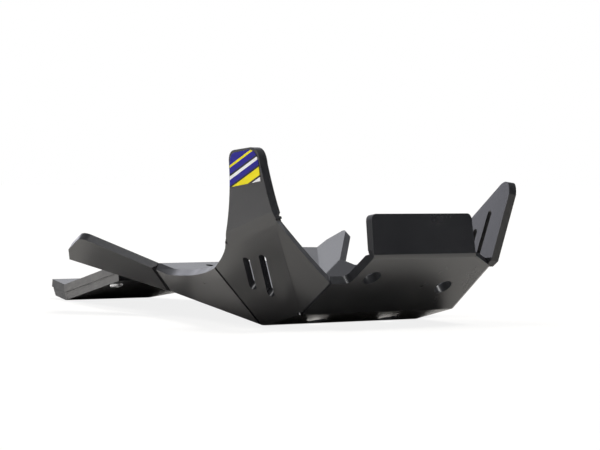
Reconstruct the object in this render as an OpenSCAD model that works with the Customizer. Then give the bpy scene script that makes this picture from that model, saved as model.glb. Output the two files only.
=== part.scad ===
/* [Sheet] */
// Thickness of the folded sheet
sheet_t = 8; // [6:0.5:10]
// Width of the open joint between the near gusset and the slope
seam_w = 2.4; // [1:0.2:3]
// Outer radius of the bends along the belly, keel and sides
bend_r = 8; // [4:0.5:12]
// Outer radius of the crisper bends of the front flap and the near gusset
crisp_r = 5; // [3:0.5:8]
// Outer radius of the wide bend below the near tongue
tongue_bend_r = 18; // [10:1:24]
// Radius of the relief hole at the end of that joint
relief_r = 2.6; // [1.6:0.2:4]
// Mouth of the groove left open between the near wing and the side wall
groove_w = 3.4; // [1.6:0.2:5]
// Mouth of the grooves left open between the side walls and the rear flaps
flap_groove_w = 5; // [2:0.2:6]
// Depth of those grooves
groove_depth = 5.6; // [4:0.2:6.4]
// Depth of the fine grooves along the inside of the nose fold and the tongue's bend
inner_groove = 2.4; // [1:0.2:3]

/* [Belly] */
// Half width of the belly at its front fold
belly_half = 89; // [80:1:100]
// Half width at the keel fold, the lowest line of the plate
keel_half = 92; // [84:1:104]
// Length of the belly ahead of the keel
belly_run = 53.5; // [45:0.5:65]
// Rise of the belly from the keel to its front fold
belly_rise = 12.5; // [8:0.5:18]
// Length from the keel back to the ridge
tail_run = 236.5; // [215:1:260]
// Height of the ridge above the keel
ridge_z = 36.8; // [30:0.2:44]
// Half width at the ridge
ridge_half = 90; // [82:1:100]

/* [Front] */
// Length of the slope, measured level
slope_run = 61; // [52:1:70]
// Rise of the slope
slope_rise = 51.5; // [44:0.5:60]
// Half width of the front flap at its fold
flap_half = 58; // [48:1:66]
// Height of the front flap along its face
flap_h = 37.6; // [28:0.2:48]
// Lean of the front flap back from upright
flap_lean = 9; // [4:1:15]
// Corner radius of the front flap
flap_corner_r = 5; // [3:0.5:9]
// Depth of the step beside the front flap, along the slope
step_len = 36; // [30:0.5:42]
// Sideways reach of the step's shoulder
step_half = 83.4; // [74:0.2:88]
// Distance of the step's inner corner outside the flap's fold
step_out_by = 4; // [2:0.5:8]
// Radius of the step's inner corner
step_r = 6; // [3:0.5:9]

/* [Near wing] */
// Sideways reach of the near wing
wing_half = 156; // [146:1:166]
// Height of the front end of the tongue's bend
bend_front_z = 97.5; // [88:0.5:104]
// Distance of the bend's front end ahead of the keel
bend_front_y = 103; // [96:1:108]
// Distance of the bend's rear end ahead of the keel
bend_rear_y = 32.6; // [30:0.2:40]
// Height of the tongue's top
tongue_top_z = 156.5; // [140:0.5:170]
// Width of the tongue near its top
tongue_w = 45; // [38:1:50]
// Distance of the tongue's rear edge ahead of the bend's rear end
tongue_set = 4.8; // [0:0.2:8]
// Drop of the tongue's top towards the rear
top_drop = 3; // [0:0.5:6]
// Size of the tongue's rear corner
tongue_rear_r = 8; // [4:0.5:14]
// Size of the tongue's front corner
tongue_front_r = 14; // [8:0.5:18]
// Width of the near cooling slots
slot_w = 7.1; // [5:0.1:9]
// Length of the upper near slot between the centres of its ends
upper_slot = 33.2; // [24:0.2:38]
// Length of the lower near slot between the centres of its ends
lower_slot = 45.8; // [36:0.2:52]
// Place of the upper near slot along the belly's bend
upper_slot_x = 14.9; // [10:0.1:18]
// Distance of the upper near slot from that bend
upper_slot_y = 55.6; // [50:0.1:60]
// Place of the lower near slot along the belly's bend
lower_slot_x = -1.2; // [-4:0.1:3]
// Distance of the lower near slot from that bend
lower_slot_y = 48.5; // [44:0.1:54]
// Turn of the near slots from that bend
slot_turn = -55.2; // [-62:0.2:-48]

/* [Far wing] */
// Height of the far wing's tip
far_tip_z = 129.5; // [118:0.5:142]
// Distance of the far wing's tip ahead of the keel
far_tip_y = 122; // [116:1:128]
// Sideways reach of the slope where it meets the far wing
far_half = 90; // [84:1:96]
// Distance of that meeting below the nose fold, down the slope
far_down = 18; // [12:1:24]
// Width of the far cooling slots
far_slot_w = 5.2; // [4:0.1:7]
// Length of the outer far slot between the centres of its ends
far_outer_slot = 36.6; // [28:0.2:42]
// Length of the inner far slot between the centres of its ends
far_inner_slot = 32; // [26:0.5:38]
// Place of the outer far slot along the slope's bend
far_outer_x = 76; // [70:0.5:80]
// Place of the inner far slot along that bend
far_inner_x = 53; // [48:0.5:58]
// Distance of the far slots from that bend
far_slot_y = 27.5; // [24:0.5:31]
// Turn of the far slots from that bend
far_slot_turn = 34; // [28:0.5:40]

/* [Side walls and rear flaps] */
// Height of that corner
wall_z = 52; // [46:0.5:58]
// Sideways reach of the side wall at its rear end
waist_half = 113; // [106:1:120]
// Height of the side wall at its rear end
waist_z = 44.4; // [40:0.2:50]
// Distance behind the keel of the side wall's rear end
waist_y = 145; // [136:1:154]
// Sideways reach of the rear flap's tip
tip_half = 161; // [150:1:170]
// Height of the rear flap's tip
tip_z = 72; // [64:1:80]
// Distance behind the keel of the rear flap's tip
tip_y = 190; // [182:1:200]
// Width of the lip turned in along the rear flap
turn_in = 24; // [16:1:30]
// Distance of the flap's heel inside its tip
heel_in_by = 10.6; // [6:0.2:16]
// Distance of the flap's heel behind its tip
heel_back = 38; // [32:1:44]

/* [Linkage guard] */
// Length of the guard behind the ridge
guard_run = 159; // [140:1:176]
// Half width of the guard at its rear fold
guard_half = 53.4; // [46:0.2:62]
// Length of the lip behind the rear fold
lip_run = 31; // [22:1:40]
// Rise of the lip
lip_rise = 4.4; // [2:0.2:8]
// Half width of the lip's end
lip_half = 50; // [42:1:54]
// Thickness of the wear pad below the guard
pad_t = 8; // [5:0.5:10]
// Gap between the ridge fold and the pad's front edge
pad_setback = 4; // [2:0.5:12]
// Distance of the pad's other edges inside the guard's
pad_inset = 1.4; // [0.6:0.2:3]
// Chamfer along the pad's rear end
pad_chamfer = 6.4; // [4:0.2:7]

/* [Holes] */
// Radius of the bolt access holes in the slope and belly
access_r = 8.5; // [6:0.5:10]
// Sideways place of the slope's near access hole
near_access_x = 42; // [36:1:48]
// Distance of that hole behind the nose fold, measured level
near_access_y = 22.2; // [18:0.2:28]
// Sideways place of the slope's far access hole
far_access_x = 50; // [44:1:56]
// Distance of that hole behind the nose fold, measured level
far_access_y = 34.7; // [28:0.2:40]
// Sideways place of the belly's access holes
belly_access_x = 41; // [34:1:48]
// Distance of those holes ahead of the keel
belly_access_y = 15.5; // [12:0.5:24]
// Radius of the mounting hole ahead of the ridge
mount_r = 4.2; // [3:0.2:5.2]
// Distance of that hole ahead of the ridge
mount_back = 15; // [12:0.5:22]
// Distance of that hole to the far side of the middle
mount_side = 7; // [0:0.5:12]
// Radius of the pad screws' shanks
screw_r = 3; // [2:0.25:4]
// Distance of the pad screws from the ridge
screw_back = 35; // [26:1:46]
// Sideways place of the pad screws
screw_half = 71; // [62:1:73]
// Radius of the countersunk heads of those screws
head_r = 7; // [5.5:0.25:8]
// Depth of the heads
head_h = 4; // [3:0.2:5]
// Width across the flats of the heads' hex recess
recess_w = 5; // [3:0.5:6]
// Clearance around the screws
screw_gap = 0.3; // [0.1:0.05:0.5]
// Height of the nuts
nut_h = 5; // [4:0.2:6.5]
// Width of the nuts across their flats
nut_w = 10; // [8:0.5:13]
// Length of thread that stands clear of the nuts
thread_out = 1.4; // [0.6:0.2:3]

/* [Decal] */
// Thickness of the decal on the tongue
decal_t = 0.4; // [0.2:0.1:0.8]
// Height of the decal
decal_h = 34; // [26:1:40]
// Bare margin between the decal and the tongue's edge
decal_margin = 2.2; // [1:0.2:4]

/* [Hidden] */
$fn = 48;
curve_steps = 10;
root_lap = 0.3;
root_inset = 0.1;
line_w = 0.8;
trench_past = 4;
bend_ease = 0.02;

function unit(v) = v / norm(v);
function inward(a, b, c) = unit(cross(b - a, c - a));
function mid(a, b, k = 0.5) = a * (1 - k) + b * k;
function mirrored(p) = [-p.x, p.y, p.z];
// Quadratic curve from a to b, pulled towards c
function curve(a, c, b) =
    [for (i = [0 : curve_steps]) let (k = i / curve_steps)
        a * (1 - k) ^ 2 + c * 2 * k * (1 - k) + b * k ^ 2];
// Shift of a fold line when both of its faces move out by t
function fold_shift(n1, n2, t) = -(n1 + n2) * t / (1 + n1 * n2);

// Corners of the outer face; the near side is at -X
front_y = -belly_run;
belly_n = [-belly_half, front_y, belly_rise];
belly_f = mirrored(belly_n);
keel_n = [-keel_half, 0, 0];
keel_f = mirrored(keel_n);
slope_y = front_y - slope_run;
slope_z = belly_rise + slope_rise;
nose_n = [-flap_half, slope_y, slope_z];
nose_f = mirrored(nose_n);
brow_n = nose_n + flap_h * [0.03, sin(flap_lean), cos(flap_lean)];
brow_f = mirrored(brow_n);
ridge_n = [-ridge_half, tail_run, ridge_z];
ridge_f = mirrored(ridge_n);
guard_y = tail_run + guard_run;
lip_y = guard_y + lip_run;

// Inward normals of the guard and its lip, with the pad's fold resting at the keel's level
guard_in = unit([0, ridge_z - pad_t, guard_run]);
lip_in = unit([0, -lip_rise, lip_run]);
guard_z = -fold_shift(guard_in, lip_in, pad_t).z;
guard_n = [-guard_half, guard_y, guard_z];
guard_f = mirrored(guard_n);
lip_n = [-lip_half, lip_y, guard_z + lip_rise];
lip_f = mirrored(lip_n);

// Points on the slope are found by going down it from the nose fold
slope_down = unit([0, slope_run, -slope_rise]);
step_in = [-flap_half - step_out_by, slope_y, slope_z] + step_len * slope_down;
step_out = [-step_half, step_in.y, step_in.z];
far_root = [far_half, slope_y, slope_z] + far_down * slope_down;

bend_front = [-wing_half, -bend_front_y, bend_front_z];
waist_low = [-mid(keel_half, ridge_half), waist_y, ridge_z * waist_y / tail_run];
waist_top = [-waist_half, waist_y - 6, waist_z];
tip = [-tip_half, tip_y, tip_z];

// Planes of the flats, each as three points in an order that points its normal inward
wing_base = [belly_n, keel_n, bend_front];
gusset_base = [belly_n, bend_front, step_out];
wall_base = [keel_n, waist_low, waist_top];
flap_base = [waist_low, tip, waist_top];
far_base = [belly_f, far_root, keel_f];

function normal_of(base) = inward(base[0], base[1], base[2]);
// Points of a plane from two of their coordinates
function at_xy(base, x, y) = let (n = normal_of(base), a = base[0])
    [x, y, a.z - (n.x * (x - a.x) + n.y * (y - a.y)) / n.z];
function at_yz(base, y, z) = let (n = normal_of(base), a = base[0])
    [a.x - (n.y * (y - a.y) + n.z * (z - a.z)) / n.x, y, z];

// The wing and the side wall meet on one line, which rises from the keel's corner
wall_fold = unit(cross(normal_of(wall_base), normal_of(wing_base)));
wall_top = keel_n + wall_fold * wall_z / wall_fold.z;
bend_rear = at_xy(wing_base, -wing_half, -bend_rear_y);
heel = at_xy(flap_base, -tip_half + heel_in_by, tip_y + heel_back);
heel_in = unit([heel.y - waist_low.y, waist_low.x - heel.x, 0]);

// Outline of the tongue above its bend, drawn in by m all round
function tongue_head(m = 0) =
    let (x = -wing_half, top = tongue_top_z - m, rear = -bend_rear_y - tongue_set,
        rear_top = [x, rear - m, top - top_drop],
        front = rear - tongue_w + m, front_top = [x, front + tongue_front_r, top])
    concat(curve(rear_top - [0, 0, tongue_rear_r], rear_top,
            mid(rear_top, front_top, tongue_rear_r / (tongue_w - tongue_front_r))),
        curve(front_top, [x, front + tongue_front_r / 5, top], [x, front, top - tongue_front_r + m]));

module plane(base) {
    a = base[0];
    ex = unit(base[1] - a);
    n = normal_of(base);
    ey = cross(n, ex);
    multmatrix([
        [ex.x, ey.x, n.x, a.x],
        [ex.y, ey.y, n.y, a.y],
        [ex.z, ey.z, n.z, a.z],
        [0, 0, 0, 1]]) children();
}

function flat(p, base) =
    let (a = base[0], ex = unit(base[1] - a), ey = cross(normal_of(base), ex))
        [(p - a) * ex, (p - a) * ey];

// One flat of the sheet, grown inward from its outer face
module plate(base, outline, t = sheet_t) {
    plane(base) linear_extrude(t) polygon([for (p = outline) flat(p, base)]);
}

// Children drawn across the fold from a to b and extruded along it, past both of its ends;
// their first coordinate runs into the sheet
module across_fold(a, b, n1, n2, past = 0) {
    dir = unit(b - a);
    into = unit(n1 + n2);
    side = cross(dir, into);
    start = a - past * dir;
    multmatrix([
        [into.x, side.x, dir.x, start.x],
        [into.y, side.y, dir.y, start.y],
        [into.z, side.z, dir.z, start.z],
        [0, 0, 0, 1]]) linear_extrude(norm(b - a) + 2 * past) children();
}

// A direction across the fold from a to b, in the coordinates of across_fold
function section(v, a, b, n1, n2) =
    let (into = unit(n1 + n2)) [v * into, v * cross(unit(b - a), into)];

// Direction away from an outer corner along the flat whose inward normal is n
function along_flat(n, other) = unit(other - n * (n * other));

// Root of a groove that closes on the outer face, between two flats with inward normals;
// it laps a little way into both flats and stops just short of their faces and edges
module groove_root(a, b, n1, n2) {
    low = root_inset;
    high = sheet_t - root_inset;
    apex = (n1 + n2) / (1 + n1 * n2);
    lap_1 = -root_lap * along_flat(n1, n2);
    lap_2 = -root_lap * along_flat(n2, n1);
    across_fold(a, b, n1, n2, -2 * root_lap) polygon([
        for (v = [low * apex, lap_1 + low * n1, lap_1 + high * n1,
                high * apex, lap_2 + high * n2, lap_2 + low * n2])
            section(v, a, b, n1, n2)]);
}

// Fine line that stays open where a groove closes
module groove_line(a, b, n1, n2) {
    across_fold(a, b, n1, n2, sheet_t) rotate(45) square(line_w, center = true);
}

// Groove with a mouth w wide along an outward fold, open to the outside, that runs out of
// the edge at b
module open_groove(a, b, n1, n2, w) {
    across_fold(a + (sheet_t - trench_past) * unit(b - a), b, n1, n2, sheet_t) polygon([
        [-sheet_t, -w / 2], [0, -w / 2], [groove_depth, 0], [0, w / 2], [-sheet_t, w / 2]]);
}

// Fine groove along the inner corner of a bend
module bend_groove(a, b, n1, n2) {
    corner = sheet_t * norm(n1 + n2) / (1 + n1 * n2);
    across_fold(a, b, n1, n2, 2 * sheet_t) polygon([
        [corner - inner_groove, 0], [corner + sheet_t, -inner_groove - sheet_t / 2],
        [corner + sheet_t, inner_groove + sheet_t / 2]]);
}

// What a bend of outer radius r leaves off the corner between two flats
module soft_bend(a, b, n1, n2, r = bend_r) {
    half = acos(n1 * n2) / 2;
    reach = r * tan(half);
    centre = r / cos(half);
    difference() {
        across_fold(a, b, n1, n2, 1) polygon([
            [-1, 0],
            section(reach * along_flat(n1, n2) - n1, a, b, n1, n2),
            [centre, 0],
            section(reach * along_flat(n2, n1) - n2, a, b, n1, n2)]);
        across_fold(a, b, n1, n2, 2) translate([centre - bend_ease, 0]) circle(r);
    }
}

// Open joint along a to b between two flats, with a round relief hole at a
module open_joint(a, b, n1, n2) {
    across_fold(a, b + sheet_t * unit(b - a), n1, n2) translate([-sheet_t, -seam_w / 2])
        square([3 * sheet_t, seam_w]);
    relief = unit(n1 + n2);
    across_fold(a - sheet_t * relief, a + 2 * sheet_t * relief, unit(b - a), unit(b - a))
        circle(relief_r);
}

// Slot of width w through a flat, from its centre, its length and its turn in the plane
module slot(base, centre, length, turn, w) {
    plane(base) translate([centre.x, centre.y, -1]) rotate([0, 0, turn]) {
        translate([-length / 2, -w / 2, 0]) cube([length, w, sheet_t + 2]);
        for (end = [-1, 1])
            translate([end * length / 2, 0, 0]) cylinder(h = sheet_t + 2, r = w / 2);
    }
}

// Round hole through a flat at the point p of its plane
module hole(base, p, r) {
    q = flat(p, base);
    plane(base) translate([q.x, q.y, -1]) cylinder(h = sheet_t + 2, r = r);
}

module front_flap() {
    base = [nose_f, nose_n, brow_n];
    plane(base) linear_extrude(sheet_t) {
        difference() {
            polygon([for (p = [nose_f, nose_n, brow_n, brow_f]) flat(p, base)]);
            for (side = [0, 1]) let (q = flat(side == 0 ? brow_f : brow_n, base))
                translate(q) mirror([side, 0]) difference() {
                    translate([-1, -flap_corner_r]) square(flap_corner_r + 1);
                    translate([flap_corner_r, -flap_corner_r]) circle(flap_corner_r);
                }
        }
    }
}

slope_base = [nose_n, nose_f, belly_n];
belly_base = [belly_n, belly_f, keel_n];
tail_base = [keel_n, keel_f, ridge_n];
guard_base = [ridge_n, ridge_f, guard_n];
lip_base = [guard_n, guard_f, lip_n];

// Inward normals of the flats that share bends
slope_in = normal_of(slope_base);
belly_in = normal_of(belly_base);
tail_in = normal_of(tail_base);
wing_in = normal_of(wing_base);
gusset_in = normal_of(gusset_base);
far_in = normal_of(far_base);
wall_in = normal_of(wall_base);
flap_in = normal_of(flap_base);
nose_in = normal_of([nose_f, nose_n, brow_n]);

module near_side() {
    head = tongue_head();
    waist = mid(bend_rear, head[0], 0.5) - [0, tongue_set, 0];
    throat = mid(bend_front, head[2 * curve_steps + 1], 0.5);
    plate(wing_base, concat([belly_n, keel_n],
        curve(wall_top, at_xy(wing_base, (wall_top.x - wing_half) / 2, -bend_rear_y + 4.6), bend_rear),
        [bend_front]));
    plate(gusset_base, concat([belly_n],
        curve(bend_front, at_yz(gusset_base, -91.5, 61), step_out)));
    plate([bend_front, bend_rear, head[0]], concat(
        curve(bend_rear, waist - [0, tongue_set / 2, 0], head[0]), head,
        curve(head[2 * curve_steps + 1], throat - [0, 0, tongue_set], bend_front)));
    groove_root(keel_n, wall_top, wing_in, wall_in);
}

module far_wing() {
    plate(far_base, concat([belly_f, far_root, at_yz(far_base, -108.5, 58)],
        curve(at_yz(far_base, -far_tip_y - 2, far_tip_z - 12),
            at_yz(far_base, -far_tip_y - 1, far_tip_z + 4),
            at_yz(far_base, -far_tip_y + 11, far_tip_z - 3.5)),
        curve(at_yz(far_base, -50, 76), at_yz(far_base, -20, 52), at_yz(far_base, -3, 10)),
        [keel_f]));
}

// Side wall, rear flap and the lip turned in below it
module flank() {
    dip = at_yz(wall_base, waist_y - 28, waist_z - 4.4);
    plate(wall_base, concat([keel_n, waist_low, waist_top],
        curve(dip, at_yz(wall_base, 48, 40.5), wall_top)));
    plate(flap_base, concat([waist_low, heel, at_xy(flap_base, heel.x - 7.5, heel.y - 10)],
        curve(at_xy(flap_base, tip.x - 0.2, tip.y + 7), tip, at_xy(flap_base, tip.x + 5, tip.y - 5)),
        [waist_top]));
    plate([waist_low, waist_low + heel_in, heel], [
        mid(waist_low, heel, 0.12), mid(waist_low, heel, 0.4) + 14 * heel_in,
        heel + turn_in * heel_in, heel]);
    groove_root(waist_low, waist_top, wall_in, flap_in);
}

module mirrored_x() { mirror([1, 0, 0]) children(); }

module soft_bends() {
    soft_bend(nose_n, nose_f, slope_in, nose_in, crisp_r);
    soft_bend(belly_n, belly_f, slope_in, belly_in);
    soft_bend(keel_n, keel_f, belly_in, tail_in);
    soft_bend(belly_n, keel_n, wing_in, belly_in);
    soft_bend(belly_n, bend_front, wing_in, gusset_in, crisp_r);
    soft_bend(bend_front, bend_rear, wing_in, [1, 0, 0], tongue_bend_r);
    soft_bend(belly_f, keel_f, far_in, belly_in);
    soft_bend(belly_f, far_root, far_in, slope_in);
    for (side = [0, 1]) mirror([side, 0, 0]) soft_bend(keel_n, waist_low, wall_in, tail_in);
}

module main_plate() {
    color([0.13, 0.13, 0.14]) difference() {
        union() {
            front_flap();
            plate(slope_base, concat([nose_n, nose_f, far_root, belly_f, belly_n, step_out],
                curve(step_in + step_r * unit(step_out - step_in), step_in,
                    step_in + step_r * unit(nose_n - step_in))));
            plate(belly_base, [belly_n, belly_f, keel_f, keel_n]);
            plate(tail_base, [keel_n, keel_f, ridge_f, ridge_n]);
            plate(guard_base, [ridge_n, ridge_f, guard_f, guard_n]);
            plate(lip_base, [guard_n, guard_f, lip_f, lip_n]);
            groove_root(ridge_n, ridge_f, tail_in, guard_in);
            near_side();
            far_wing();
            flank();
            mirrored_x() flank();
        }
        soft_bends();
        for (side = [0, 1]) mirror([side, 0, 0])
            open_groove(waist_low, waist_top, wall_in, flap_in, flap_groove_w);
        open_groove(keel_n, wall_top, wing_in, wall_in, groove_w);
        bend_groove(nose_n, nose_f, slope_in, nose_in);
        bend_groove(bend_front, bend_rear, wing_in, [1, 0, 0]);
        groove_line(ridge_n, ridge_f, tail_in, guard_in);
        open_joint(belly_n, step_out, gusset_in, slope_in);
        slot(wing_base, [upper_slot_x, upper_slot_y], upper_slot, slot_turn, slot_w);
        slot(wing_base, [lower_slot_x, lower_slot_y], lower_slot, slot_turn, slot_w);
        slot(far_base, [far_outer_x, far_slot_y], far_outer_slot, far_slot_turn, far_slot_w);
        slot(far_base, [far_inner_x, far_slot_y], far_inner_slot, far_slot_turn, far_slot_w);
        hole(slope_base, at_xy(slope_base, -near_access_x, slope_y + near_access_y), access_r);
        hole(slope_base, at_xy(slope_base, far_access_x, slope_y + far_access_y), access_r);
        for (side = [-1, 1])
            hole(belly_base, at_xy(belly_base, side * belly_access_x, -belly_access_y), access_r);
        hole(tail_base, at_xy(tail_base, mount_side, tail_run - mount_back), mount_r);
        for (side = [-1, 1]) hole(guard_base, screw_at(side), screw_r + screw_gap);
    }
}

function screw_at(side) = [side * screw_half, tail_run, ridge_z]
    + screw_back * unit(mid(guard_n, guard_f) - mid(ridge_n, ridge_f));

// Wear pad, a second sheet lying below the guard and a little smaller than it
module linkage_pad() {
    front_n = mid(ridge_n, guard_n, pad_setback / norm(guard_n - ridge_n)) - pad_t * guard_in
        + [pad_inset, 0, 0];
    fold_n = guard_n + fold_shift(guard_in, lip_in, pad_t) + [pad_inset, 0, 0];
    end_n = lip_n - pad_t * lip_in - pad_inset * unit(lip_n - guard_n) + [pad_inset, 0, 0];
    front_f = mirrored(front_n);
    fold_f = mirrored(fold_n);
    end_f = mirrored(end_n);
    end_in = cross([1, 0, 0], lip_in);
    color([0.1, 0.1, 0.11]) difference() {
        union() {
            plate([front_n, front_f, fold_n], [front_n, front_f, fold_f, fold_n], pad_t);
            plate([fold_n, fold_f, end_n], [fold_n, fold_f, end_f, end_n], pad_t);
        }
        across_fold(end_n, end_f, lip_in, end_in, pad_t)
            translate([pad_chamfer / sqrt(2) - 3 * pad_t, -2 * pad_t]) square([3 * pad_t, 4 * pad_t]);
        at_screws() {
            translate([0, 0, -pad_t - 1]) cylinder(h = pad_t + 2, r = screw_r + screw_gap);
            translate([0, 0, -pad_t - 1]) cylinder(h = 1 + screw_gap, r = head_r + screw_gap);
            translate([0, 0, screw_gap - pad_t])
                cylinder(h = head_h, r1 = head_r + screw_gap, r2 = screw_r + screw_gap);
        }
    }
}

// Children at the two pad screws, with the pad's upper face at zero
module at_screws() {
    for (side = [-1, 1]) let (q = flat(screw_at(side), guard_base))
        plane(guard_base) translate([q.x, q.y, 0]) children();
}

module pad_screws() {
    thread = sheet_t + nut_h + thread_out;
    color([0.75, 0.76, 0.78]) at_screws() difference() {
        union() {
            translate([0, 0, -pad_t]) cylinder(h = head_h, r1 = head_r, r2 = screw_r);
            translate([0, 0, -pad_t + head_h - 1]) cylinder(h = pad_t - head_h + 1 + thread, r = screw_r);
            translate([0, 0, thread]) cylinder(h = screw_r / 4, r1 = screw_r, r2 = screw_r * 3 / 4);
        }
        translate([0, 0, -pad_t - 1]) cylinder(h = 1 + head_h * 0.6, r = recess_w / sqrt(3), $fn = 6);
    }
}

// Hex nuts with chamfered corners, on the guard's inner face
module pad_nuts() {
    corner = nut_w / sqrt(3);
    color([0.7, 0.71, 0.73]) at_screws() translate([0, 0, sheet_t]) difference() {
        intersection() {
            cylinder(h = nut_h, r = corner, $fn = 6);
            union() {
                cylinder(h = nut_h / 2, r1 = nut_w / 2, r2 = nut_w / 2 + nut_h);
                translate([0, 0, nut_h / 2])
                    cylinder(h = nut_h / 2, r1 = nut_w / 2 + nut_h, r2 = nut_w / 2);
            }
        }
        translate([0, 0, -1]) cylinder(h = nut_h + 2, r = screw_r + screw_gap / 3);
    }
}

// Printed decal on the outer face of the tongue
module decal() {
    x = -wing_half;
    base = [[x, -bend_front_y, tongue_top_z], [x, 0, tongue_top_z], [x, 0, tongue_top_z + 10]];
    head = tongue_head(decal_margin);
    low = tongue_top_z - decal_h;
    color([0.16, 0.18, 0.6]) translate([-decal_t, 0, 0])
        plate(base, concat([[x, head[0].y, low]], head,
            [[x, head[2 * curve_steps + 1].y - decal_h / 11, low + decal_h / 6]]), decal_t);
}

main_plate();
linkage_pad();
pad_screws();
pad_nuts();
decal();
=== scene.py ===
import bpy, bmesh, math
from mathutils import Matrix, Vector
from mathutils.bvhtree import BVHTree


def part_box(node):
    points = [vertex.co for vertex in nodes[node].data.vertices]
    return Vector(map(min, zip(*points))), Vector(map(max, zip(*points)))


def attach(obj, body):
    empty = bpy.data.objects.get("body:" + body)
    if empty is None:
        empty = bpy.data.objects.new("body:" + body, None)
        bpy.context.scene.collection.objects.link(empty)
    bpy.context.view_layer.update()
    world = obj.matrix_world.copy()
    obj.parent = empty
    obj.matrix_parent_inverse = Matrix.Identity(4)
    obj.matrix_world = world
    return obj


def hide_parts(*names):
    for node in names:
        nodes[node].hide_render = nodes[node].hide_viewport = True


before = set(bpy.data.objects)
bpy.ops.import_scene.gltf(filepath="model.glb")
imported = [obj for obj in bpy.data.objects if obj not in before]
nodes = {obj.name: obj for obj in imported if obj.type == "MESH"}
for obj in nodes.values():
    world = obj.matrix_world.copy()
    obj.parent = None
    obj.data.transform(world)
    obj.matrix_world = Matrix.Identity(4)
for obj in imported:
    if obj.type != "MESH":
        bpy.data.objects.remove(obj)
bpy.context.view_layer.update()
scene = bpy.context.scene
print("frame loaded:", ", ".join(sorted(nodes)))


# node helpers

def newMaterial(name):
    mat = bpy.data.materials.new(name)
    mat.use_nodes = True
    tree = mat.node_tree
    tree.nodes.clear()
    out = tree.nodes.new("ShaderNodeOutputMaterial")
    shader = tree.nodes.new("ShaderNodeBsdfPrincipled")
    tree.links.new(shader.outputs[0], out.inputs[0])
    return mat, tree, shader


def addNode(tree, kind, **values):
    node = tree.nodes.new(kind)
    for key, value in values.items():
        if key in node.inputs:
            node.inputs[key].default_value = value
        else:
            setattr(node, key, value)
    return node


def objectCoords(tree, scale=(1, 1, 1), turn=(0, 0, 0)):
    coords = tree.nodes.new("ShaderNodeTexCoord")
    mapping = tree.nodes.new("ShaderNodeMapping")
    mapping.inputs["Scale"].default_value = scale
    mapping.inputs["Rotation"].default_value = turn
    tree.links.new(coords.outputs["Object"], mapping.inputs[0])
    return mapping.outputs[0]


def noise(tree, where, scale, detail=3.0, rough=0.55):
    node = addNode(tree, "ShaderNodeTexNoise", Scale=scale, Detail=detail, Roughness=rough)
    tree.links.new(where, node.inputs["Vector"])
    return node.outputs["Fac"]


def spread(tree, value, low, high, fromLow=0.3, fromHigh=0.7):
    node = tree.nodes.new("ShaderNodeMapRange")
    for key, number in zip(("From Min", "From Max", "To Min", "To Max"), (fromLow, fromHigh, low, high)):
        node.inputs[key].default_value = number
    tree.links.new(value, node.inputs["Value"])
    return node.outputs["Result"]


def maths(tree, operation, a, b):
    node = addNode(tree, "ShaderNodeMath", operation=operation)
    for socket, value in zip(node.inputs, (a, b)):
        if isinstance(value, (int, float)):
            socket.default_value = value
        else:
            tree.links.new(value, socket)
    return node.outputs[0]


def ramp(tree, value, stops, constant=False):
    node = tree.nodes.new("ShaderNodeValToRGB")
    if constant:
        node.color_ramp.interpolation = "CONSTANT"
    while len(node.color_ramp.elements) < len(stops):
        node.color_ramp.elements.new(0.5)  # its own place is set below
    for element, (place, colour) in zip(node.color_ramp.elements, stops):
        element.position = place
        element.color = (*colour, 1)
    tree.links.new(value, node.inputs[0])
    return node.outputs[0]


def bump(tree, shader, height, strength, distance):
    node = addNode(tree, "ShaderNodeBump", Strength=strength, Distance=distance)
    tree.links.new(height, node.inputs["Height"])
    tree.links.new(node.outputs[0], shader.inputs["Normal"])


# black plastic sheet: the skin and the cut edges

sheetSkin = {
    "dark": (0.0075, 0.008, 0.0095),
    "light": (0.013, 0.0135, 0.0155),
    "patchScale": 14,
    "patchLow": 0.3,               # noise level that is all dark
    "patchHigh": 0.72,             # and all light
    "roughLow": 0.2,
    "roughHigh": 0.28,
    "scuffScale": 60,
    "scuffStretch": (1, 0.12, 1),  # scuffs run from front to back
    "scuffTurn": (0.2, 0.1, 0.4),  # keeps the noise's grid off the sheet's own directions
    "scuffRange": (0.55, 0.75),    # noise levels between which a scuff fades in
    "scuffRough": 0.03,            # what a full scuff adds to the roughness
    "ior": 1.6,
    "grainScale": 900,
    "coarseScale": 260,
    "grainStrength": 0.04,
    "grainHeight": 0.0004,
}


def skinMaterial(name, look):
    mat, tree, shader = newMaterial(name)
    where = objectCoords(tree)
    patches = noise(tree, where, look["patchScale"], detail=4)
    tone = ramp(tree, patches, [(look["patchLow"], look["dark"]), (look["patchHigh"], look["light"])])
    tree.links.new(tone, shader.inputs["Base Color"])
    along = objectCoords(tree, look["scuffStretch"], look["scuffTurn"])
    scuffs = noise(tree, along, look["scuffScale"], detail=5, rough=0.7)
    rough = maths(tree, "ADD", spread(tree, patches, look["roughLow"], look["roughHigh"]),
                  spread(tree, scuffs, 0, look["scuffRough"], *look["scuffRange"]))
    tree.links.new(rough, shader.inputs["Roughness"])
    fine = noise(tree, where, look["grainScale"], detail=2)
    coarse = noise(tree, where, look["coarseScale"], detail=2)
    bump(tree, shader, maths(tree, "ADD", fine, coarse), look["grainStrength"], look["grainHeight"])
    shader.inputs["IOR"].default_value = look["ior"]
    return mat


cutEdge = {
    "dark": (0.009, 0.0095, 0.011),
    "light": (0.018, 0.0185, 0.02),
    "markScale": 420,
    "markStretch": (1, 1, 0.15),   # saw marks run up and down the edge
    "markLow": 0.35,               # noise level that is all dark
    "markHigh": 0.68,              # and all light
    "markStrength": 0.16,
    "markHeight": 0.0003,
    "rough": (0.28, 0.4),
    "roughScale": 45,
    "ior": 1.38,
}


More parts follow.
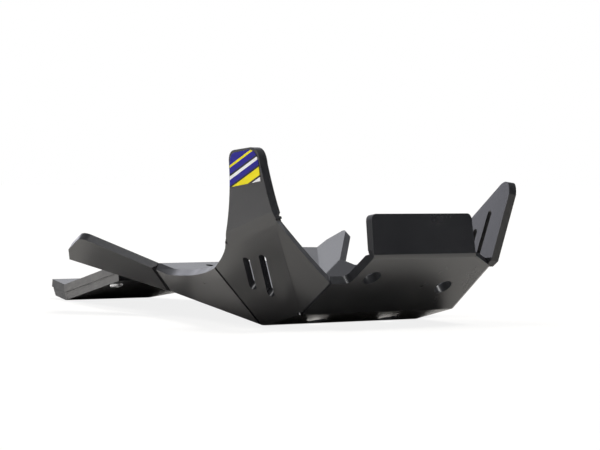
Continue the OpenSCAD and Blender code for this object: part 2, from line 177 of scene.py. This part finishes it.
def edgeMaterial(name, look):
    mat, tree, shader = newMaterial(name)
    where = objectCoords(tree)
    marks = noise(tree, objectCoords(tree, look["markStretch"]), look["markScale"], detail=3, rough=0.6)
    tone = ramp(tree, marks, [(look["markLow"], look["dark"]), (look["markHigh"], look["light"])])
    tree.links.new(tone, shader.inputs["Base Color"])
    worn = noise(tree, where, look["roughScale"], detail=3)
    tree.links.new(spread(tree, worn, *look["rough"]), shader.inputs["Roughness"])
    bump(tree, shader, marks, look["markStrength"], look["markHeight"])
    shader.inputs["IOR"].default_value = look["ior"]
    return mat


# the wear pad is of the same sheet, rubbed duller
rubbedSkin = {**sheetSkin, "roughLow": 0.3, "roughHigh": 0.42}
rubbedEdge = {**cutEdge, "dark": (0.013, 0.0135, 0.015), "light": (0.026, 0.027, 0.029)}

plateSkin = skinMaterial("plate skin", sheetSkin)
plateEdge = edgeMaterial("plate cut edge", cutEdge)
padSkin = skinMaterial("pad skin", rubbedSkin)
padEdge = edgeMaterial("pad cut edge", rubbedEdge)


# zinc plated steel

zinc = {
    "dark": (0.56, 0.57, 0.59),
    "light": (0.78, 0.79, 0.81),
    "cloudScale": 320,
    "cloudLow": 0.3,
    "cloudHigh": 0.7,
    "rough": (0.3, 0.45),
    "grainScale": 1500,
    "grainStrength": 0.08,
    "grainHeight": 0.0002,
}


def zincMaterial(name, look):
    mat, tree, shader = newMaterial(name)
    where = objectCoords(tree)
    cloud = noise(tree, where, look["cloudScale"], detail=4)
    tone = ramp(tree, cloud, [(look["cloudLow"], look["dark"]), (look["cloudHigh"], look["light"])])
    tree.links.new(tone, shader.inputs["Base Color"])
    tree.links.new(spread(tree, cloud, *look["rough"]), shader.inputs["Roughness"])
    grain = noise(tree, where, look["grainScale"], detail=2)
    bump(tree, shader, grain, look["grainStrength"], look["grainHeight"])
    shader.inputs["Metallic"].default_value = 1.0
    return mat


screwZinc = zincMaterial("screw zinc", zinc)
nutZinc = zincMaterial("nut zinc", {**zinc, "dark": (0.5, 0.51, 0.53)})


# decal: slanted bands on a blue ground, with black lines between them

decalLook = {
    "blue": (0.006, 0.002, 0.26),
    "yellow": (0.88, 0.76, 0.0),
    "white": (0.88, 0.88, 0.9),
    "black": (0.01, 0.01, 0.014),
    "slant": 0.45,          # how far a band drops for each unit of length towards the back
    "bandShare": 0.62,      # how much of the row of bands fits in the decal's height
    "bands": [
        # where it starts, colour
        (0.0, "white"), (0.18, "black"), (0.215, "yellow"), (0.36, "black"), (0.395, "blue"),
        (0.5, "white"), (0.555, "black"), (0.59, "blue"), (0.7, "yellow"), (0.745, "blue"),
    ],
    "rough": (0.36, 0.46),
    "roughScale": 90,
    "grainScale": 300,
    "grainStrength": 0.05,
    "grainHeight": 0.0003,
    "ior": 1.28,
}


def decalMaterial(name, look):
    mat, tree, shader = newMaterial(name)
    low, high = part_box("decal")
    height = high.z - low.z
    coords = tree.nodes.new("ShaderNodeTexCoord")
    split = tree.nodes.new("ShaderNodeSeparateXYZ")
    tree.links.new(coords.outputs["Object"], split.inputs[0])
    fromFront = maths(tree, "SUBTRACT", split.outputs["Y"], low.y)
    fromFoot = maths(tree, "SUBTRACT", split.outputs["Z"], low.z)
    across = maths(tree, "MULTIPLY", fromFront, look["slant"] / height)
    up = maths(tree, "MULTIPLY", fromFoot, 1 / height)
    place = maths(tree, "MULTIPLY", maths(tree, "ADD", across, up), look["bandShare"])
    bands = [(start, look[colour]) for start, colour in look["bands"]]
    tree.links.new(ramp(tree, place, bands, constant=True), shader.inputs["Base Color"])
    where = objectCoords(tree)
    worn = noise(tree, where, look["roughScale"], detail=3)
    tree.links.new(spread(tree, worn, *look["rough"]), shader.inputs["Roughness"])
    grain = noise(tree, where, look["grainScale"], detail=2)
    bump(tree, shader, grain, look["grainStrength"], look["grainHeight"])
    shader.inputs["IOR"].default_value = look["ior"]
    return mat


decalPrint = decalMaterial("decal print", decalLook)
print("materials made")


# folded sheet: a welded copy of the solid with eased edges, skin and cut edges told apart by thickness

sheetBuild = {
    "thickness": 0.008,
    "skinShare": 1.35,      # skin has the far face closer behind it than this many thicknesses
    "rayStart": 0.0001,     # how far below the face that is measured from
    "weld": 0.000002,       # points closer than this become one
    "flat": 0.4,            # degrees below which neighbouring faces become one flat
    "sharp": 20,            # degrees from which an edge is eased
    "ease": 0.00035,
    "easeSteps": 2,
    "evenWeight": 60,       # how much large faces lead the shading
}


def foldedSheet(nodeName, pieceName, skin, edge, look):
    source = nodes[nodeName]
    bm = bmesh.new()
    bm.from_mesh(source.data)
    bmesh.ops.remove_doubles(bm, verts=bm.verts, dist=look["weld"])
    bmesh.ops.dissolve_limit(bm, angle_limit=math.radians(look["flat"]), verts=bm.verts, edges=bm.edges)
    bmesh.ops.triangulate(bm, faces=[f for f in bm.faces if len(f.verts) > 4])
    bm.normal_update()
    solid = BVHTree.FromBMesh(bm)
    for face in bm.faces:
        start = face.calc_center_median() - face.normal * look["rayStart"]
        depth = solid.ray_cast(start, -face.normal)[3]
        thin = depth is not None and depth < look["thickness"] * look["skinShare"]
        face.material_index = 0 if thin else 1
        face.smooth = True
    mesh = bpy.data.meshes.new(pieceName)
    bm.to_mesh(mesh)
    bm.free()
    mesh.materials.append(skin)
    mesh.materials.append(edge)
    mesh.set_sharp_from_angle(angle=math.radians(look["sharp"]))
    piece = bpy.data.objects.new(pieceName, mesh)
    scene.collection.objects.link(piece)
    ease = piece.modifiers.new("eased edges", "BEVEL")
    ease.width = look["ease"]
    ease.segments = look["easeSteps"]
    ease.limit_method = "ANGLE"
    ease.angle_limit = math.radians(look["sharp"])
    ease.harden_normals = True
    ease.use_clamp_overlap = True
    even = piece.modifiers.new("even shading", "WEIGHTED_NORMAL")
    even.keep_sharp = True
    even.weight = look["evenWeight"]
    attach(piece, "root")
    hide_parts(nodeName)


foldedSheet("main_plate", "folded_plate", plateSkin, plateEdge, sheetBuild)
foldedSheet("linkage_pad", "wear_pad", padSkin, padEdge, sheetBuild)
print("folded plate and wear pad made")


# screws, nuts and decal are shown as the frame has them

for name, material in (("pad_screws", screwZinc), ("pad_nuts", nutZinc), ("decal", decalPrint)):
    nodes[name].data.materials.clear()
    nodes[name].data.materials.append(material)
print("small pieces dressed")


# raised heads of the pad screws: a low dome with a hex recess over each flush head of the frame

screwHead = {
    "cover": 0.9,            # radius as a share of the flush head's
    "rim": 0.0009,           # height of the upright rim
    "rise": 0.0026,          # height of the whole dome
    "recessHalf": 0.0025,    # half width of the hexagon across its flats
    "recessDepth": 0.002,
    "lip": 0.98,             # where the dome stops, as a share of the way in to the hexagon
    "lipDrop": 0.0001,       # how far the recess's edge is rounded down
    "sunk": 0.0001,          # how far the base sits below the pad's face
    "faceSlack": 0.00001,    # points this close to the flush head's face lie on it
    "digits": 6,             # to which they are rounded, so that each counts once
    "around": 48,            # points in each ring
    "rings": 7,              # rings in the dome
    "sharp": 40,             # degrees from which an edge stays sharp
}


# middle, outward direction and radius of the flush head on one side
def headSeat(side, look):
    mesh = nodes["pad_screws"].data
    own = [v.co for v in mesh.vertices if v.co.x * side > 0]
    normals = [p.normal for p in mesh.polygons if p.center.x * side > 0]
    out = min(normals, key=lambda n: n.z).copy()  # the head's own face looks down the most
    level = max(co.dot(out) for co in own)
    onFace = [co for co in own if level - co.dot(out) < look["faceSlack"]]
    rim = {tuple(round(c, look["digits"]) for c in co) for co in onFace}
    centre = sum((Vector(c) for c in rim), Vector()) / len(rim)
    return centre, out, max((Vector(c) - centre).length for c in rim)


def addHead(bm, seat, look):
    centre, out, radius = seat
    right = out.orthogonal().normalized()
    ahead = out.cross(right)
    turns = [2 * math.pi * k / look["around"] for k in range(look["around"])]
    hexagon = [look["recessHalf"] / math.cos(a % (math.pi / 3) - math.pi / 6) for a in turns]

    def ring(share, height):  # share 0 is the round rim, share 1 the hexagon
        reach = [radius * look["cover"] * (1 - share) + h * share for h in hexagon]
        return [bm.verts.new(centre + out * height + (right * math.cos(a) + ahead * math.sin(a)) * r)
                for a, r in zip(turns, reach)]

    dome = look["rise"] - look["rim"]
    loops = [ring(0, -look["sunk"])]
    for step in range(look["rings"] + 1):
        share = step / look["rings"]
        loops.append(ring(share * look["lip"], look["rim"] + dome * math.sqrt(1 - (1 - share) ** 2)))
    loops.append(ring(1, look["rise"] - look["lipDrop"]))
    loops.append(ring(1, look["rise"] - look["recessDepth"]))
    for low, high in zip(loops, loops[1:]):
        for k in range(look["around"]):
            after = (k + 1) % look["around"]
            bm.faces.new((low[k], low[after], high[after], high[k]))
    bm.faces.new(reversed(loops[0]))
    bm.faces.new(loops[-1])


def raisedHeads(pieceName, material, look):
    bm = bmesh.new()
    for side in (-1, 1):
        addHead(bm, headSeat(side, look), look)
    bmesh.ops.recalc_face_normals(bm, faces=bm.faces)
    for face in bm.faces:
        face.smooth = True
    mesh = bpy.data.meshes.new(pieceName)
    bm.to_mesh(mesh)
    bm.free()
    mesh.materials.append(material)
    mesh.set_sharp_from_angle(angle=math.radians(look["sharp"]))
    heads = bpy.data.objects.new(pieceName, mesh)
    scene.collection.objects.link(heads)
    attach(heads, "root")


raisedHeads("screw_heads", screwZinc, screwHead)
print("raised screw heads made")


# studio: pale floor, white surround, soft lamps

studio = {
    "floorColour": (0.92, 0.89, 0.84),
    "floorWhite": 0.85,        # share of plain white in the floor as the camera sees it
    "floorHalf": 12.0,         # half its width
    "floorDrop": 0.0002,       # how far below the plate's lowest line the floor lies
    "diffuseLevel": 0.14,      # surround as it lights matt surfaces
    "mirrorLow": 0.12,         # surround as it shows in glossy surfaces, away from the bright side
    "mirrorHigh": 1.15,        # and towards it
    "mirrorTop": 0.55,         # and straight above
    "mirrorSpan": (0.1, 1.0),  # cosines between which the bright side comes up
    "mirrorPower": 2.0,
    "topSpan": (0.5, 0.9),     # and the top
    "mirrorTint": (0.93, 0.94, 1.0),
    "brightSide": (0.15, 0.94, 0.3),  # where it lies, mostly behind the plate
    "sunDistance": 2,          # only moves the lamps' symbols
    "suns": [
        # name, direction it comes from, strength, softness in degrees, shows in reflections
        ("front light", (0.15, -0.36, 0.92), 1.05, 26, False),
        ("wide front light", (0.08, -0.36, 0.93), 0.4, 28, True),
        ("small front light", (0.13, -0.36, 0.92), 1.1, 13, True),
        ("left light", (-0.5, 0.05, 0.87), 1.25, 26, False),
    ],
    "softboxTint": (0.88, 0.88, 1.0),
    "softboxes": [
        # name, place, aim, width, depth, watts
        ("back softbox", (-0.38, 2.19, 0.54), (0, 0.0, 0.05), 1.78, 0.8, 10.5),
    ],
}


def makeFloor(look):
    mesh = bpy.data.meshes.new("studio_floor")
    half = look["floorHalf"]
    level = -look["floorDrop"]
    corners = [(-half, -half, level), (half, -half, level), (half, half, level), (-half, half, level)]
    mesh.from_pydata(corners, [], [(0, 1, 2, 3)])
    floor = bpy.data.objects.new("studio_floor", mesh)
    scene.collection.objects.link(floor)
    mat = bpy.data.materials.new("floor paper")
    mat.use_nodes = True
    tree = mat.node_tree
    tree.nodes.clear()
    out = tree.nodes.new("ShaderNodeOutputMaterial")
    paper = addNode(tree, "ShaderNodeBsdfDiffuse", Color=(*look["floorColour"], 1))
    white = addNode(tree, "ShaderNodeEmission", Color=(1, 1, 1, 1), Strength=1.0)
    path = tree.nodes.new("ShaderNodeLightPath")
    both = tree.nodes.new("ShaderNodeMixShader")
    whiteShare = maths(tree, "MULTIPLY", path.outputs["Is Camera Ray"], look["floorWhite"])
    tree.links.new(whiteShare, both.inputs[0])
    tree.links.new(paper.outputs[0], both.inputs[1])
    tree.links.new(white.outputs[0], both.inputs[2])
    tree.links.new(both.outputs[0], out.inputs[0])
    mesh.materials.append(mat)


def makeWorld(look):
    world = bpy.data.worlds.new("studio surround")
    scene.world = world
    world.use_nodes = True
    tree = world.node_tree
    tree.nodes.clear()
    out = tree.nodes.new("ShaderNodeOutputWorld")
    back = tree.nodes.new("ShaderNodeBackground")
    coords = tree.nodes.new("ShaderNodeTexCoord")

    # what glossy surfaces mirror: brightest behind the plate, with a pale top
    side = addNode(tree, "ShaderNodeVectorMath", operation="DOT_PRODUCT")
    side.inputs[1].default_value = Vector(look["brightSide"]).normalized()
    tree.links.new(coords.outputs["Generated"], side.inputs[0])
    near = spread(tree, side.outputs["Value"], 0, 1, *look["mirrorSpan"])
    near = maths(tree, "POWER", near, look["mirrorPower"])
    mirror = maths(tree, "MULTIPLY", near, look["mirrorHigh"] - look["mirrorLow"])
    mirror = maths(tree, "ADD", mirror, look["mirrorLow"])
    split = tree.nodes.new("ShaderNodeSeparateXYZ")
    tree.links.new(coords.outputs["Generated"], split.inputs[0])
    top = spread(tree, split.outputs["Z"], 0, look["mirrorTop"], *look["topSpan"])
    mirror = maths(tree, "MAXIMUM", mirror, top)

    # matt surfaces get one even level, and the camera sees plain white
    path = tree.nodes.new("ShaderNodeLightPath")
    glossy = path.outputs["Is Glossy Ray"]
    matt = maths(tree, "MULTIPLY", maths(tree, "SUBTRACT", 1.0, glossy), look["diffuseLevel"])
    level = maths(tree, "ADD", matt, maths(tree, "MULTIPLY", glossy, mirror))
    seen = maths(tree, "MAXIMUM", level, path.outputs["Is Camera Ray"])
    tree.links.new(seen, back.inputs["Strength"])
    tree.links.new(back.outputs[0], out.inputs[0])

    tint = tree.nodes.new("ShaderNodeMix")
    tint.data_type = "RGBA"
    tint.inputs[6].default_value = (1, 1, 1, 1)  # 6 and 7 are its two colours, output 2 their mix
    tint.inputs[7].default_value = (*look["mirrorTint"], 1)
    tree.links.new(glossy, tint.inputs[0])
    tree.links.new(tint.outputs[2], back.inputs["Color"])


def addLamp(name, kind, place, direction):
    data = bpy.data.lights.new(name, kind)
    lamp = bpy.data.objects.new(name, data)
    scene.collection.objects.link(lamp)
    lamp.location = place
    lamp.rotation_mode = "QUATERNION"
    lamp.rotation_quaternion = Vector(direction).to_track_quat("-Z", "Y")
    return lamp, data


def makeLamps(look):
    for name, source, strength, softness, shows in look["suns"]:
        lamp, data = addLamp(name, "SUN", Vector(source) * look["sunDistance"], -Vector(source))
        data.energy = strength
        data.angle = math.radians(softness)
        lamp.visible_glossy = shows
    for name, place, aim, width, depth, watts in look["softboxes"]:
        lamp, data = addLamp(name, "AREA", place, Vector(aim) - Vector(place))
        data.shape = "RECTANGLE"
        data.size = width
        data.size_y = depth
        data.energy = watts
        data.color = look["softboxTint"]


makeFloor(studio)
makeWorld(studio)
makeLamps(studio)
print("studio made")


# camera at the photograph's angle

cameraLook = {
    "place": (-1.2488, -1.5647, 0.1395),
    "ahead": (0.60789, 0.7936, -0.02582),
    "right": (0.79399, -0.60783, 0.01095),
    "lens": 132.44,
    "sensor": 36,
    "nearest": 0.05,
    "farthest": 60,
}


def makeCamera(look):
    data = bpy.data.cameras.new("photo camera")
    data.lens = look["lens"]
    data.sensor_width = look["sensor"]
    data.clip_start = look["nearest"]
    data.clip_end = look["farthest"]
    camera = bpy.data.objects.new("photo camera", data)
    scene.collection.objects.link(camera)
    ahead = Vector(look["ahead"]).normalized()
    right = (Vector(look["right"]) - ahead * ahead.dot(Vector(look["right"]))).normalized()
    up = right.cross(ahead)
    turn = Matrix((right, up, -ahead)).transposed().to_4x4()
    camera.matrix_world = Matrix.Translation(look["place"]) @ turn
    scene.camera = camera


makeCamera(cameraLook)
scene.view_settings.view_transform = "Standard"
